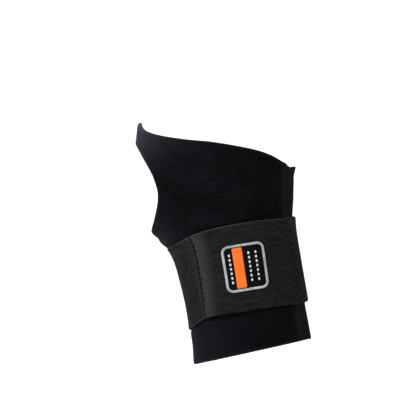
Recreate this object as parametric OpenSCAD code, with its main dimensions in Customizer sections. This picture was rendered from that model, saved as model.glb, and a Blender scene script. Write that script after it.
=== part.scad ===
// Wrist support brace: a laminated foam sleeve, folded round the wrist and sewn along the
// little-finger side, with a thumb hole and one wrap-round elastic strap.
// +Z runs up the forearm to the fingers, -X is the thumb side and -Y the back of the hand.
// The origin is in the middle of the forearm opening, on the plane of its rim.

/* [Sleeve] */
// Height of the sleeve at the web between thumb and first finger
web_height = 152; // [149:1:156]
// Height of the sleeve at the little-finger side
ulnar_height = 101.8; // [99:0.1:104]
// Thickness of the laminated foam sheet
sheet_t = 3; // [2.6:0.1:3.2]
// Thickness of the fabric on each face of the foam
fabric_t = 0.35; // [0.3:0.05:0.5]
// Height of the thumb hole's widest level
hole_height = 105.5; // [104:0.5:108]
// Reach of the thumb hole below its widest level
hole_down = 22.8; // [20:0.1:24]
// Reach of the thumb hole above its widest level
hole_up = 33.5; // [29:0.5:35]
// Half angle that the thumb hole takes from the fold
hole_angle = 48.5; // [42:0.5:50]

/* [Side seam] */
// Length of the flat part of the sewn fin
fin_len = 2; // [1.6:0.1:3]
// Rise of the fin's top corner above the sleeve's edge
fin_ear = 1.2; // [0:0.1:3]
// Reach of the fin's top corner beyond the fin's edge
fin_flare = 1.4; // [0:0.1:2]
// Length of one stitch with its gap
stitch_pitch = 3.2; // [2.8:0.1:4]
// Thread thickness
thread_d = 0.5; // [0.4:0.1:0.6]

/* [Strap] */
// Width of the elastic webbing
strap_w = 50; // [46:1:52]
// Thickness of the elastic webbing
strap_t = 1.5; // [1.2:0.1:1.8]
// Height of the strap's lower edge above the rim
strap_z = 22.7; // [20:0.1:26]
// Clearance between strap and sleeve
strap_gap = 0.5; // [0.4:0.1:0.7]
// Thickness of the hook patch and of the loop patch
patch_t = 0.9; // [0.7:0.1:1]
// Length of the strap that stands off straight at its free end
end_straight = 13.4; // [12.4:0.1:15]
// Length of the hemmed grip at the free end
grip_len = 9; // [8:0.5:10]

/* [Badge] */
// Width of the badge round the wrist
badge_w = 24; // [20:1:27]
// Height of the badge along the forearm
badge_h = 27; // [22:1:30]
// Width of the badge's raised border
badge_rim = 1.4; // [1:0.1:2]

/* [Hidden] */

// Cross-sections of the sleeve's outer face: [height, thumb-side x, little-finger-side x, half depth]
stations = [
    [0, -34.6, 32.9, 24.5],
    [25, -30.9, 34.2, 23.2],
    [48, -30.7, 35.7, 22.8],
    [68, -33.2, 37.6, 22.8],
    [84, -43.2, 42.1, 22.5],
    [106, -48, 47.4, 21],
    [126, -46.5, 49.1, 19],
    [140, -42, 49, 17.5],
    [158, -36, 48, 16]];
squareness = 0.03;    // how far each oval bulges towards a rounded rectangle

// Angles round the sheet start at the fold on the thumb side: positive over the back of the hand,
// negative over the palm. Past seam_angle the sheet turns outward into the sewn fin.
seam_angle = 166;
turn_angle = 9;       // share of the angle used by the bend into the fin
fin_gap = 0.2;
label_gap = 0.12;     // the label hangs this far inside the lining
fin_bend = 1.5;
edge_sway = 4;        // S-shape of the top edge, over the thumb side
mid_drop = 30;        // fall of the grid line that carries the thumb hole, towards the seam

hinge_gap = 0.4;      // half the slot between two strap segments, in degrees
anchor_start = -160;
hinge_swing = -132;
hinge_turn = -45;
hinge_peel = 43;
strap_leave = 143;    // where the strap leaves the sleeve and runs straight
hook_start = 51;
hook_end = 139;
tab_seam = 54.7;      // where the tab is sewn to the elastic, at the strap's middle
tab_seam_slope = 0.12;   // degrees that the seam moves round per mm of height
mm_per_degree = 0.5;  // scale of the angle past strap_leave

strap_mid = strap_z + strap_w / 2;
badge_angle = 97;
badge_z = strap_mid - 0.5;
black_foam = [0.06, 0.06, 0.07];
black_knit = [0.04, 0.04, 0.05];
black_web = [0.09, 0.09, 0.09];

function mix(a, b, t) = a + (b - a) * t;
function clamp(t) = max(0, min(1, t));
function smooth(t) = let(c = clamp(t)) c * c * (3 - 2 * c);
function unit(v) = v / norm(v);

// Smooth curve through one column c of the stations table, at height z
function tangent(k, c) = let(
        lo = max(k - 1, 0),
        hi = min(k + 1, len(stations) - 1))
    (stations[hi][c] - stations[lo][c]) / (stations[hi][0] - stations[lo][0]);
function row_below(z, k = 0) = k >= len(stations) - 2 || z < stations[k + 1][0] ? k : row_below(z, k + 1);
function station(z, c) = let(
        k = row_below(z),
        h = stations[k + 1][0] - stations[k][0],
        t = clamp((z - stations[k][0]) / h))
    mix(stations[k][c], stations[k + 1][c], smooth(t))
    + h * t * (1 - t) * ((1 - t) * tangent(k, c) - t * tangent(k + 1, c));

// Point of the oval part of the outer face at angle q and height z
function oval(q, z) = let(
        left = station(z, 1),
        right = station(z, 2),
        e = squareness)
    [(left + right) / 2 - (right - left) / 2 * ((1 + e) * cos(q) - e * cos(3 * q)),
     -station(z, 3) * ((1 + e) * sin(q) + e * sin(3 * q))];

// Outer face of one half of the sheet, angle 0 to 180, with its bend and its fin
function flare(z) = fin_flare * smooth((z - ulnar_height + 4.5) / 6);
function bezier(p0, p1, p2, t) = (1 - t) * (1 - t) * p0 + 2 * t * (1 - t) * p1 + t * t * p2;
function half_face(q, z) = let(
        start = oval(seam_angle, z),
        dir = unit(start - oval(seam_angle - 1, z)),
        face_y = -(sheet_t + fin_gap / 2),
        corner = start + dir * (face_y - start[1]) / dir[1],
        root = corner + [fin_bend, 0],
        past = q - seam_angle)
    past <= 0 ? oval(q, z)
    : past <= turn_angle ? bezier(start, corner, root, past / turn_angle)
    : root + [(fin_len + flare(z)) * (past - turn_angle) / (180 - seam_angle - turn_angle), 0];
function face(q, z) = let(p = half_face(min(abs(q), 180), z)) [p[0], q < 0 ? -p[1] : p[1]];
function face_dir(q, z) = unit(face(min(q + 0.5, 180), z) - face(max(q - 0.5, -180), z));
function skin(q, z, off) = let(p = face(q, z), d = face_dir(q, z)) [p[0] + d[1] * off, p[1] - d[0] * off, z];

// Top edge, and the two edges of the thumb hole, as heights over the angle
function top_z(q) = let(p = abs(q))
    ulnar_height + (web_height - ulnar_height) * (1 + cos(p)) / 2
    - edge_sway * sin(2 * p) * (p < 90 ? 1 : 0.65)
    + fin_ear * smooth((p - seam_angle) / 14);
function hole_share(q) = sqrt(max(0, 1 - pow(q / hole_angle, 2)));
function hole_z(q, reach) = abs(q) < hole_angle ? hole_height + reach * hole_share(q)
    : hole_height - mid_drop * (abs(q) - hole_angle) / (180 - hole_angle);

// Two triangles for four corners that run clockwise as seen from outside
function quad(a, b, c, d) = [[a, b, c], [a, c, d]];
function flat(lists) = [for (l = lists) each l];

// Closed slab between two grids of points, outer[i][j] and inner[i][j]
module slab(outer, inner) {
    n = len(outer) - 1;
    m = len(outer[0]) - 1;
    size = (n + 1) * (m + 1);
    function o(i, j) = i * (m + 1) + j;
    function s(i, j) = size + o(i, j);
    polyhedron(concat(flat(outer), flat(inner)), flat([
        for (i = [0:n - 1], j = [0:m - 1]) quad(o(i, j), o(i, j + 1), o(i + 1, j + 1), o(i + 1, j)),
        for (i = [0:n - 1], j = [0:m - 1]) quad(s(i, j), s(i + 1, j), s(i + 1, j + 1), s(i, j + 1)),
        for (i = [0:n - 1]) quad(o(i, 0), o(i + 1, 0), s(i + 1, 0), s(i, 0)),
        for (i = [0:n - 1]) quad(o(i + 1, m), o(i, m), s(i, m), s(i + 1, m)),
        for (j = [0:m - 1]) quad(o(0, j + 1), o(0, j), s(0, j), s(0, j + 1)),
        for (j = [0:m - 1]) quad(o(n, j), o(n, j + 1), s(n, j + 1), s(n, j))]), convexity = 8);
}

// One layer of the folded sheet, between two offsets from the outer face, with the thumb hole
hole_steps = 7;
back_steps = 14;
bend_steps = 3;
half_columns = concat(
    [for (k = [0:hole_steps]) hole_angle * sin(90 * k / hole_steps)],
    [for (k = [1:back_steps]) mix(hole_angle, seam_angle, k / back_steps)],
    [for (k = [1:bend_steps]) seam_angle + turn_angle * k / bend_steps],
    [180]);
columns = concat([for (k = [len(half_columns) - 1:-1:1]) -half_columns[k]], half_columns);
low_rows = 14;
high_rows = 5;
module sheet_layer(off_out, off_in) {
    n = len(columns) - 1;
    low_n = (n + 1) * (low_rows + 1);
    side = low_n + (n + 1) * (high_rows + 1);
    function open(i) = abs(columns[i]) < hole_angle - 0.001;
    function low(i, j, inner) = (inner ? side : 0) + i * (low_rows + 1) + j;
    function high(i, j, inner) = j == 0 && !open(i) ? low(i, low_rows, inner)
        : (inner ? side : 0) + low_n + i * (high_rows + 1) + j;
    function points(off) = [
        for (q = columns, j = [0:low_rows]) skin(q, hole_z(q, -hole_down) * j / low_rows, off),
        for (q = columns, j = [0:high_rows]) skin(q, mix(hole_z(q, hole_up), top_z(q), j / high_rows), off)];
    across = [for (i = [0:n - 1]) i];
    holed = [for (i = across) if (open(i) || open(i + 1)) i];
    polyhedron(concat(points(off_out), points(off_in)), flat([
        for (i = across, j = [0:low_rows - 1])
            quad(low(i, j, false), low(i, j + 1, false), low(i + 1, j + 1, false), low(i + 1, j, false)),
        for (i = across, j = [0:high_rows - 1])
            quad(high(i, j, false), high(i, j + 1, false), high(i + 1, j + 1, false), high(i + 1, j, false)),
        for (i = across, j = [0:low_rows - 1])
            quad(low(i, j, true), low(i + 1, j, true), low(i + 1, j + 1, true), low(i, j + 1, true)),
        for (i = across, j = [0:high_rows - 1])
            quad(high(i, j, true), high(i + 1, j, true), high(i + 1, j + 1, true), high(i, j + 1, true)),
        for (i = across) quad(low(i, 0, false), low(i + 1, 0, false), low(i + 1, 0, true), low(i, 0, true)),
        for (i = across) quad(high(i + 1, high_rows, false), high(i, high_rows, false),
            high(i, high_rows, true), high(i + 1, high_rows, true)),
        for (i = holed) quad(low(i + 1, low_rows, false), low(i, low_rows, false),
            low(i, low_rows, true), low(i + 1, low_rows, true)),
        for (i = holed)
            quad(high(i, 0, false), high(i + 1, 0, false), high(i + 1, 0, true), high(i, 0, true)),
        for (j = [0:low_rows - 1])
            quad(low(0, j + 1, false), low(0, j, false), low(0, j, true), low(0, j + 1, true)),
        for (j = [0:high_rows - 1])
            quad(high(0, j + 1, false), high(0, j, false), high(0, j, true), high(0, j + 1, true)),
        for (j = [0:low_rows - 1])
            quad(low(n, j, false), low(n, j + 1, false), low(n, j + 1, true), low(n, j, true)),
        for (j = [0:high_rows - 1])
            quad(high(n, j, false), high(n, j + 1, false), high(n, j + 1, true), high(n, j, true))]),
        convexity = 10);
}
module foam_core() { color(black_foam) sheet_layer(-fabric_t, fabric_t - sheet_t); }
module outer_jersey() { color(black_knit) sheet_layer(0, -fabric_t); }
module inner_lining() { color(black_knit) sheet_layer(fabric_t - sheet_t, -sheet_t); }

// Thread: one stitch is a short bar from a to b, lying on a face with normal up
module stitch(a, b, up) {
    along = unit(b - a);
    wide = unit(cross(along, up)) * thread_d / 2;
    high = unit(up) * thread_d / 2;
    ring = [wide, high, -wide, -high];
    polyhedron(concat([for (r = ring) a + r], [for (r = ring) b + r]), flat([
        quad(3, 2, 1, 0),
        quad(4, 5, 6, 7),
        for (k = [0:3]) quad(k, (k + 1) % 4, 4 + (k + 1) % 4, 4 + k)]));
}
// Row of stitches through a list of points, each shortened to leave the gap where the thread dives
module stitch_row(points, ups) {
    for (k = [0:len(points) - 2]) {
        gap = unit(points[k + 1] - points[k]) * thread_d * 0.6;
        stitch(points[k] + gap, points[k + 1] - gap, ups[k]);
    }
}
function skin_up(q, z) = skin(q, z, 1) - skin(q, z, 0);

seam_stitch_angle = 177.4;
module side_seam_thread() {
    count = floor((ulnar_height - 8) / stitch_pitch);
    heights = [for (k = [0:count]) 4 + k * stitch_pitch];
    color("dimgray") for (q = [-seam_stitch_angle, seam_stitch_angle])
        stitch_row([for (z = heights) skin(q, z, 0)], [for (z = heights) skin_up(q, z)]);
}
module seam_bartacks() {
    tack_rows = 4;
    tack_step = 0.75;
    for (z0 = [1.2, ulnar_height - 2.4], q = [-1, 1], k = [0:tack_rows - 1]) {
        z = z0 + k * tack_step;
        color("dimgray") stitch(skin(q * 175.6, z, 0), skin(q * 179.4, z, 0), skin_up(q * 177, z));
    }
}

// The strap doesn't run level: its elastic sits lower at the thumb side and its tab is pulled down
// towards the free end
function sway(q) = 3.1 * smooth((q - 18) / 50) - 2.3 * smooth((q - 66) / 90) - 2.3;
function low_skin(q, z, off) = skin(q, z + sway(q), off);

module care_label() {
    n = 10;
    function grid(off) = [for (i = [0:n]) [for (z = [6, 12, 18, 24]) skin(mix(-157, -132, i / n), z, off)]];
    color("gainsboro") slab(grid(-sheet_t - label_gap), grid(-sheet_t - label_gap - 0.4));
}
loop_angles = [62, 138];
patch_margin = 2;     // the patches stop this far inside the strap's edges
patch_z = [strap_z + patch_margin, strap_z + strap_w - patch_margin];
module loop_patch() {
    n = 16;
    function grid(off) = [for (i = [0:n]) [for (j = [0:4])
        low_skin(mix(loop_angles[0], loop_angles[1], i / n), mix(patch_z[0], patch_z[1], j / 4), off)]];
    color(black_web) slab(grid(patch_t), grid(0.02));
}
// Closed loop of points round a rectangle of angles and heights, inset from its edges
function box_route(q, z, in_q, in_z, steps_q, steps_z) = concat(
    [for (k = [0:steps_q]) [mix(q[0] + in_q, q[1] - in_q, k / steps_q), z[0] + in_z]],
    [for (k = [1:steps_z]) [q[1] - in_q, mix(z[0] + in_z, z[1] - in_z, k / steps_z)]],
    [for (k = [1:steps_q]) [mix(q[1] - in_q, q[0] + in_q, k / steps_q), z[1] - in_z]],
    [for (k = [1:steps_z]) [q[0] + in_q, mix(z[1] - in_z, z[0] + in_z, k / steps_z)]]);
module box_stitch(route, off) {
    stitch_row([for (p = route) low_skin(p[0], p[1], off)], [for (p = route) skin_up(p[0], p[1])]);
}
module loop_patch_stitch() {
    color("dimgray") box_stitch(box_route(loop_angles, patch_z, 3, 1.8, 14, 13), patch_t);
}

// Strap: its lift over the sleeve grows where the hook patch lies under it, and past strap_leave
// it runs straight on
strap_lift = patch_t * 2 + 0.3;
function lift(q) = strap_gap + (strap_lift - strap_gap) * smooth((q - hinge_peel - 1) / 9);
function strap_point(q, z, off) = let(
        p = skin(min(q, strap_leave), z + sway(q), off + lift(q)),
        d = face_dir(strap_leave, z))
    p + [d[0], d[1], 0] * max(0, q - strap_leave) * mm_per_degree;
function strap_up(q, z) = strap_point(q, z, 1) - strap_point(q, z, 0);
strap_end = strap_leave + end_straight / mm_per_degree;
hinge_grip = strap_end - grip_len / mm_per_degree;
strap_rows = 4;
module strap_run(q0, q1, off_out, off_in, step = 7) {
    n = ceil((q1 - q0) / step);
    function grid(off) = [for (i = [0:n]) [for (j = [0:strap_rows])
        strap_point(mix(q0, q1, i / n), strap_z + strap_w * j / strap_rows, off)]];
    color(black_web) slab(grid(off_out), grid(off_in));
}
module strap_anchor_end() { strap_run(anchor_start, hinge_swing - hinge_gap, strap_t, 0.15 - strap_gap, 4); }
module strap_palm_run() { strap_run(hinge_swing + hinge_gap, hinge_turn - hinge_gap, strap_t, 0); }
module strap_thumb_turn() { strap_run(hinge_turn + hinge_gap, hinge_peel - hinge_gap, strap_t, 0); }
module strap_back_run() { strap_run(hinge_peel + hinge_gap, hinge_grip - hinge_gap, strap_t, 0, 4); }
// The end is folded under, so the grip is two layers thick
module strap_end_grip() { strap_run(hinge_grip + hinge_gap, strap_end, strap_t, -strap_t, 5); }

module anchor_box_stitch() {
    route = box_route([anchor_start, hinge_swing], [strap_z, strap_z + strap_w], 4, 3, 4, 14);
    color("dimgray") box_stitch(route, strap_gap + strap_t);
}
module hook_patch() {
    n = 22;
    function grid(under) = [for (i = [0:n]) let(q = mix(hook_start, hook_end, i / n))
        [for (j = [0:3]) low_skin(q, mix(patch_z[0], patch_z[1], j / 3), lift(q) - under)]];
    color("black") slab(grid(0), grid(patch_t));
}
module tab_seam_stitch() {
    count = floor((strap_w - 3) / stitch_pitch);
    heights = [for (k = [0:count]) strap_z + 1.6 + k * stitch_pitch];
    function seam(z) = tab_seam + (z - strap_mid) * tab_seam_slope;
    color("dimgray") stitch_row(
        [for (z = heights) strap_point(seam(z), z, strap_t)],
        [for (z = heights) strap_up(seam(z), z)]);
}
module end_zigzag_stitch() {
    step = 1.9;
    swing = 2.4 / mm_per_degree;
    count = floor((strap_w - 3) / step);
    q0 = hinge_grip + 1.5;
    route = [for (k = [0:count]) [q0 + (k % 2) * swing, strap_z + 1.6 + k * step]];
    color("gray") stitch_row(
        [for (p = route) strap_point(p[0], p[1], strap_t)],
        [for (p = route) strap_up(p[0], p[1])]);
}

// Badge: a rounded rectangle bonded to the strap, in mm across and up from its middle
badge_scale = norm(oval(badge_angle + 0.5, badge_z) - oval(badge_angle - 0.5, badge_z));
badge_corner = 4;
plate_t = 0.5;
raised_t = 0.3;
badge_base = strap_lift + strap_t;
badge_tilt = 3;       // the badge follows the slope of the tab
bond = 0.06;          // each raised piece is glued on a film this thick
function badge_point(x, y, off) = let(
        across = x * cos(badge_tilt) + y * sin(badge_tilt),
        up = y * cos(badge_tilt) - x * sin(badge_tilt))
    skin(badge_angle + across / badge_scale, badge_z + sway(badge_angle) + up, badge_base + off);
// Half height of a rounded rectangle at distance x from its middle
function round_half(x, w, h, r) = let(past = max(0, abs(x) - (w / 2 - r)))
    h / 2 - r + sqrt(max(0, r * r - past * past));
module badge_slab(w, h, r, x0, off_out, off_in, n = 22) {
    xs = [for (i = [0:n]) -w / 2 * cos(180 * i / n)];
    function grid(off) = [for (x = xs) let(half = max(0.05, round_half(x, w, h, r)))
        [for (j = [-3:3]) badge_point(x0 + x, half * j / 3, off)]];
    slab(grid(off_out), grid(off_in));
}
module badge_plate() {
    color([0.02, 0.02, 0.03]) badge_slab(badge_w, badge_h, badge_corner, 0, plate_t, bond);
}
// Corners of a rounded rectangle, each an arc, with points along the straight side that follows it
function round_corner(w, h, r, c, a) = let(
        sx = (c == 0 || c == 3) ? 1 : -1,
        sy = c < 2 ? 1 : -1)
    [sx * (w / 2 - r) + r * cos(a), sy * (h / 2 - r) + r * sin(a)];
function round_loop(w, h, r, steps = 6, along = 10) = flat([for (c = [0:3]) let(
        last = round_corner(w, h, r, c, 90 * c + 90),
        next = round_corner(w, h, r, (c + 1) % 4, 90 * c + 90))
    concat(
        [for (k = [0:steps]) round_corner(w, h, r, c, 90 * c + 90 * k / steps)],
        [for (k = [1:along - 1]) mix(last, next, k / along)])]);
module badge_border() {
    outside = round_loop(badge_w, badge_h, badge_corner);
    inside = round_loop(badge_w - 2 * badge_rim, badge_h - 2 * badge_rim, badge_corner - badge_rim);
    n = len(outside);
    low = plate_t + bond;
    high = plate_t + raised_t;
    loops = [for (l = [[outside, high], [inside, high], [inside, low], [outside, low]])
        [for (p = l[0]) badge_point(p[0], p[1], l[1])]];
    color("darkgray") polyhedron(flat(loops), flat([for (l = [0:3], k = [0:n - 1]) let(
            here = l * n,
            next = (l + 1) % 4 * n,
            k2 = (k + 1) % n)
        quad(here + k, next + k, next + k2, here + k2)]), convexity = 4);
}
band_w = 5.4;
band_x = -3.4;
module badge_band() {
    color("darkorange")
        badge_slab(band_w, badge_h - 2 * badge_rim - 1, 0.6, band_x, plate_t + raised_t, plate_t + bond, 8);
}
mark_pitch = 2.6;
module badge_mark(x, y) {
    function grid(off) = [for (dx = [-0.5, 0.5]) [for (dy = [-0.7, 0.7]) badge_point(x + dx, y + dy, off)]];
    slab(grid(plate_t + 0.25), grid(plate_t + bond));
}
module badge_marks() {
    rows = floor((badge_h - 10) / mark_pitch);
    color("white") for (x = [band_x - 4.6, band_x + 6, band_x + 10], k = [0:rows])
        badge_mark(x, (k - rows / 2) * mark_pitch);
}

foam_core();
outer_jersey();
inner_lining();
side_seam_thread();
seam_bartacks();
care_label();
loop_patch();
loop_patch_stitch();
strap_anchor_end();
anchor_box_stitch();
strap_palm_run();
strap_thumb_turn();
strap_back_run();
hook_patch();
tab_seam_stitch();
strap_end_grip();
end_zigzag_stitch();
badge_plate();
badge_border();
badge_band();
badge_marks();
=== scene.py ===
"""Wrist support brace: the looks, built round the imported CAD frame.

The sleeve and the strap follow the same section table and formulas as the part's source, at a finer
pitch and with the soft shape that cloth takes. Lengths are in millimetres and angles in degrees until a
mesh is made, which is in metres. Angle 0 is the fold on the thumb side: positive angles run over the
back of the hand, negative ones over the palm.
"""
import math
import random

import bpy
import numpy as np
from mathutils import Matrix, Vector


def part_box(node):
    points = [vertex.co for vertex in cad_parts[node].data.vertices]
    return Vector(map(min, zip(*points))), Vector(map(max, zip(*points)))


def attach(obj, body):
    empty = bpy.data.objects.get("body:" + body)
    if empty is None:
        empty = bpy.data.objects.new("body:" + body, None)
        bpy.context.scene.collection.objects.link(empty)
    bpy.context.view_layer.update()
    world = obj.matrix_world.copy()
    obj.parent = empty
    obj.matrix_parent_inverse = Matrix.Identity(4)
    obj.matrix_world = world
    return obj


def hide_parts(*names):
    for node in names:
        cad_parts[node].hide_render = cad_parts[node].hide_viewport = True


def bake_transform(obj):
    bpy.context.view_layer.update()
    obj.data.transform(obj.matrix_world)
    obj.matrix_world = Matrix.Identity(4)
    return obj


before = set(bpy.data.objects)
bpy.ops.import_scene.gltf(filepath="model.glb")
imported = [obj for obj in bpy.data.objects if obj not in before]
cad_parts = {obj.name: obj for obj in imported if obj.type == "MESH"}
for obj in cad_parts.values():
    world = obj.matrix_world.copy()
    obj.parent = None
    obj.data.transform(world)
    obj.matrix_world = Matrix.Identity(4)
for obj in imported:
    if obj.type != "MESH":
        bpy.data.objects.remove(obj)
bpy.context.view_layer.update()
SEED = 7
MM = 0.001

# -------- sizes, from the frame where it has them


def box_mm(node):
    """Lowest and highest corner of a CAD node, in mm."""
    low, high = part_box(node)
    return np.array(low) / MM, np.array(high) / MM


WEB_HEIGHT = box_mm("foam_core")[1][2]
THUMB_SAG = 2.3       # the elastic sits this much lower than the strap's nominal height at the thumb side
STRAP_Z, STRAP_TOP = (box_mm("strap_palm_run")[k][2] + THUMB_SAG for k in (0, 1))
STRAP_W = STRAP_TOP - STRAP_Z
NARROW_TOP, NARROW_LOW = 1.3, 1.6    # how far the strap's edges are drawn in beside the seam of the tab
STRAP_MID = (STRAP_Z + STRAP_TOP) / 2
ULNAR_HEIGHT = 101.8
SHEET_T = 3.0
FABRIC_T = 0.35
HOLE_HEIGHT, HOLE_DOWN, HOLE_UP, HOLE_ANGLE = 105.5, 22.8, 33.5, 48.5
MID_DROP = 30.0       # the columns' level at the hole's middle sinks this much on its way to the side seam
FIN_LEN, FIN_BEND, FIN_EAR, FIN_FLARE, FIN_GAP = 2.0, 1.5, 1.2, 1.4, 0.2
SEAM_ANGLE, TURN_ANGLE = 166.0, 9.0
EDGE_SWAY = 4.0
SQUARENESS = 0.03     # how much fuller than an ellipse the sections are
CREST_RISE, CREST_ANGLE = 2.0, 167.5    # the top edge bulges up before it turns into the fin
STRAP_T, STRAP_GAP, PATCH_T = 1.5, 0.5, 0.9
STRAP_LIFT = PATCH_T * 2 + 0.3
STRAP_LEAVE, MM_PER_DEGREE = 143.0, 0.5
TURN_MM, SEAM_MM = 0.56, 0.58    # rough mm per degree along the strap, and the same at the seam of the tab
END_STRAIGHT, GRIP_LEN = 13.4, 9.0
STRAP_END = STRAP_LEAVE + END_STRAIGHT / MM_PER_DEGREE
ANCHOR_START, HINGE_SWING, HINGE_TURN, HINGE_PEEL = -160.0, -132.0, -45.0, 43.0
HINGE_GRIP = STRAP_END - GRIP_LEN / MM_PER_DEGREE
HEM_FLARE = 1.1       # the unstretched hem stands this much higher than the pulled strap beside it
HOOK_START, HOOK_END = 51.0, 139.0
LOOP_START, LOOP_END = 62.0, 138.0
PATCH_MARGIN = 2.0
TAB_SEAM, TAB_SEAM_SLOPE = 54.7, 0.12
BADGE_ANGLE, BADGE_Z = 97.0, STRAP_MID - 0.5
BADGE_W, BADGE_H, BADGE_RIM, BADGE_CORNER = 24.0, 27.0, 1.4, 4.0
BADGE_TILT = 3.0
THREAD_D = 0.5
STITCH_PITCH = 3.2
SEW_MARGIN = 1.6      # a seam across the strap starts this far over its lower edge
RIB, RIB_H = 1.25, 0.07    # pitch and height of the elastic's lengthwise cords

# Cross-sections of the sleeve's outer face: height, thumb-side x, little-finger-side x, half depth
STATIONS = np.array([
    [0, -34.6, 32.9, 24.5], [25, -30.9, 34.2, 23.2], [48, -30.7, 35.7, 22.8],
    [68, -33.2, 37.6, 22.8], [84, -43.2, 42.1, 22.5], [106, -48, 47.4, 21],
    [126, -46.5, 49.1, 19], [140, -42, 49, 17.5], [158, -36, 48, 16]], float)

# -------- surface of the folded sheet


def smooth(t):
    t = np.clip(t, 0, 1)
    return t * t * (3 - 2 * t)


def bell(t):
    return np.exp(-np.square(t))


def station(z):
    """Thumb-side x, little-finger-side x and half depth at height z, as three arrays."""
    heights = STATIONS[:, 0]
    last = len(heights) - 1
    lo, hi = np.maximum(np.arange(last + 1) - 1, 0), np.minimum(np.arange(last + 1) + 1, last)
    slope = (STATIONS[hi, 1:] - STATIONS[lo, 1:]) / (heights[hi] - heights[lo])[:, None]
    k = np.clip(np.searchsorted(heights, z, side="right") - 1, 0, last - 1)
    h = heights[k + 1] - heights[k]
    t = np.clip((z - heights[k]) / h, 0, 1)
    a, b = STATIONS[k, 1:], STATIONS[k + 1, 1:]
    ease = (h * t * (1 - t))[..., None] * ((1 - t)[..., None] * slope[k] - t[..., None] * slope[k + 1])
    return np.moveaxis(a + (b - a) * smooth(t)[..., None] + ease, -1, 0)


def oval(q, z):
    left, right, depth = station(z)
    a = np.radians(q)
    e = SQUARENESS
    x = (left + right) / 2 - (right - left) / 2 * ((1 + e) * np.cos(a) - e * np.cos(3 * a))
    y = -depth * ((1 + e) * np.sin(a) + e * np.sin(3 * a))
    return np.stack([x, y], -1)


def unit(v):
    return v / np.linalg.norm(v, axis=-1, keepdims=True)


def arrays(*values):
    """The values as arrays of numbers of one shape."""
    return np.broadcast_arrays(*(np.asarray(v, float) for v in values))


def face(q, z):
    """Outer face of the sheet: the oval, then the bend and the flat of the sewn fin."""
    q, z = arrays(q, z)
    a = np.minimum(np.abs(q), 180)
    start = oval(np.full_like(z, SEAM_ANGLE), z)
    way = unit(start - oval(np.full_like(z, SEAM_ANGLE - 1), z))
    fin_y = -(SHEET_T + FIN_GAP / 2)
    corner = start + way * ((fin_y - start[..., 1]) / way[..., 1])[..., None]
    root = corner + np.array([FIN_BEND, 0])
    past = a - SEAM_ANGLE
    t = np.clip(past / TURN_ANGLE, 0, 1)[..., None]
    bend = (1 - t) ** 2 * start + 2 * t * (1 - t) * corner + t * t * root
    flat = np.clip((past - TURN_ANGLE) / (180 - SEAM_ANGLE - TURN_ANGLE), 0, 1)
    bend[..., 0] += (FIN_LEN + FIN_FLARE * smooth((z - ULNAR_HEIGHT + 4.5) / 6)) * flat
    p = np.where((past <= 0)[..., None], oval(np.minimum(a, SEAM_ANGLE), z), bend)
    p[..., 1] *= np.where(q < 0, -1, 1)
    return p


def face_way(q, z):
    """Direction in which the angle grows along the outer face."""
    return unit(face(np.minimum(q + 0.5, 180), z) - face(np.maximum(q - 0.5, -180), z))


def skin(q, z, off):
    """Point over the outer face at angle q and height z, off mm outward."""
    q, z, off = arrays(q, z, off)
    p, d = face(q, z), face_way(q, z)
    return np.stack([p[..., 0] + d[..., 1] * off, p[..., 1] - d[..., 0] * off, z], -1)


def top_z(q):
    a = np.abs(q)
    r = np.radians(a)
    slant = ULNAR_HEIGHT + (WEB_HEIGHT - ULNAR_HEIGHT) * (1 + np.cos(r)) / 2
    dip = EDGE_SWAY * np.sin(2 * r) * np.where(a < 90, 1, 0.65)
    ear = FIN_EAR * smooth((a - SEAM_ANGLE) / (180 - SEAM_ANGLE))
    crest = CREST_RISE * bell((a - CREST_ANGLE) / np.where(a < CREST_ANGLE, 9, 5))
    return slant - dip + (ear + crest)


def hole_z(q, reach):
    a = np.abs(q)
    share = np.sqrt(np.maximum(0, 1 - np.square(a / HOLE_ANGLE)))
    level = HOLE_HEIGHT - MID_DROP * (a - HOLE_ANGLE) / (180 - HOLE_ANGLE)
    return np.where(a < HOLE_ANGLE, HOLE_HEIGHT + reach * share, level)


def sway(q):
    """Rise of the strap's path at angle q: low at the thumb side, highest at the seam of the tab."""
    return 3.1 * smooth((q - 18) / 50) - 2.3 * smooth((q - 66) / 90) - THUMB_SAG


def strap_level(q, z):
    """Height to which the strap's path and its pull beside the tab's seam bring height z."""
    up = (z - STRAP_Z) / STRAP_W
    hem = HEM_FLARE * smooth((q - HINGE_GRIP + 6) / 14) * up * up
    path = z + hem + sway(q) - NARROW_TOP * bell((q - 52) / 26) * up
    return path + NARROW_LOW * bell((q - 46) / 20) * (1 - up)


def selvedge(z):
    """Distance to the strap's nearer long edge."""
    return np.minimum(z - STRAP_Z, STRAP_TOP - z)


def lift(q):
    """Height of the strap's inner face over the sleeve."""
    return STRAP_GAP + (STRAP_LIFT - STRAP_GAP) * smooth((q - HINGE_PEEL - 1) / 9)


def strap_point(q, z, off):
    """Point over the strap's inner face; past STRAP_LEAVE the strap runs straight on."""
    q, z, off = arrays(q, z, off)
    level = strap_level(q, z)
    p = skin(np.minimum(q, STRAP_LEAVE), level, off + lift(q))
    d = face_way(np.full_like(z, STRAP_LEAVE), level)
    p[..., :2] += d * (np.maximum(0, q - STRAP_LEAVE) * MM_PER_DEGREE)[..., None]
    return p


def ripple(x, y, size, seed=0):
    """Smooth unevenness from about -1 to 1 at each of two arrays of coordinates in mm."""
    rng = np.random.RandomState(SEED + seed)
    total = 0
    for _ in range(7):
        turn, wave, phase = rng.uniform(0, 2 * np.pi), rng.uniform(0.6, 1.5), rng.uniform(0, 2 * np.pi)
        k = 2 * np.pi * wave / (size * 1.6)
        total = total + np.sin(k * (x * np.cos(turn) + y * np.sin(turn)) + phase)
    return total / 3.2


ARC_Z = 50.0
ARC_Q = np.linspace(-180, 180, 1441)
ARC_S = np.concatenate([[0], np.cumsum(np.linalg.norm(np.diff(face(ARC_Q, ARC_Z), axis=0), axis=1))])


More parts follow.
